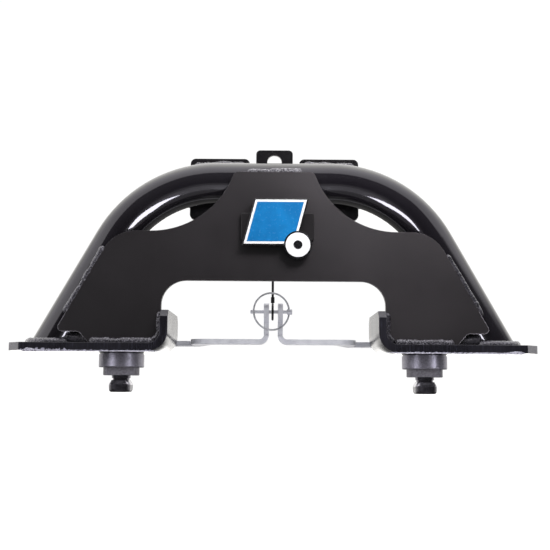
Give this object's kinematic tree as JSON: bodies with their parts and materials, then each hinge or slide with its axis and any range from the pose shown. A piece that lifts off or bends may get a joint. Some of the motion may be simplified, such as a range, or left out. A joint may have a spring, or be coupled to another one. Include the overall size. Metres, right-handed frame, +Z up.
{
  "type": "fifth wheel hitch leg",
  "caption": "Tubular arch leg of a puck-mounted fifth wheel hitch, with a web plate, bent feet, quarter-turn anchors and pinned lock handles.",
  "frame": {"origin": "midway between the two anchor axes, on the underside plane of the foot plates", "axes": "+X to the right along the line of the two anchors, +Y away from the emblem side towards the head brackets, +Z up from the feet to the tube"},
  "size_m": [0.942, 0.2301, 0.4613],
  "materials": {
    "gloss_black": "gloss",
    "black_powder_coat": "semi-gloss",
    "gunmetal_cast": "satin",
    "black_oxide_steel": "satin",
    "bronze": "satin",
    "zinc_plate": "satin",
    "cable_jacket": "matte",
    "emblem_black": "gloss",
    "emblem_white": "gloss",
    "emblem_blue": "gloss"
  },
  "bodies": {
    "root": {"arch_tube": "gloss_black", "web_plate": "black_powder_coat", "left_foot_plate": "black_powder_coat", "right_foot_plate": "black_powder_coat", "left_head_bracket": "black_powder_coat", "right_head_bracket": "black_powder_coat", "lift_tab": "black_powder_coat", "left_puck_collar": "gunmetal_cast", "right_puck_collar": "gunmetal_cast", "left_anchor_bushing": "bronze", "right_anchor_bushing": "bronze", "left_thrust_washer": "zinc_plate", "right_thrust_washer": "zinc_plate", "lanyard_cable": "cable_jacket", "lanyard_ferrule": "cable_jacket", "lanyard_upper_clip": "zinc_plate", "emblem_base": "black_powder_coat", "emblem_body": "emblem_black", "emblem_border": "emblem_white", "emblem_face": "emblem_blue", "emblem_disc": "emblem_white"},
    "left_lever": {"left_lock_handle": "zinc_plate", "left_anchor": "black_oxide_steel", "left_anchor_nut": "zinc_plate", "left_top_washer": "zinc_plate"},
    "right_lever": {"right_lock_handle": "zinc_plate", "right_anchor": "black_oxide_steel", "right_anchor_nut": "zinc_plate", "right_top_washer": "zinc_plate"},
    "pin": {"lock_pin": "zinc_plate"},
    "ring": {"pin_ring": "zinc_plate"}
  },
  "joints": [
    {"name": "left_handle_swing", "type": "hinge", "parent": "root", "child": "left_lever", "pos_m": [-0.2794, 0, 0.0223], "axis": [0, 0, 1], "range_deg": [0, 90]},
    {"name": "right_handle_swing", "type": "hinge", "parent": "root", "child": "right_lever", "pos_m": [0.2794, 0, 0.0223], "axis": [0, 0, 1], "range_deg": [-90, 0]},
    {"name": "pin_slide", "type": "slide", "parent": "root", "child": "pin", "axis": [1, 0, 0], "range_m": [0, 0.07]},
    {"name": "ring_swing", "type": "hinge", "parent": "pin", "child": "ring", "pos_m": [0.0297, 0.027, 0.0793], "axis": [0, 0, 1], "range_deg": [0, 150]}
  ]
}
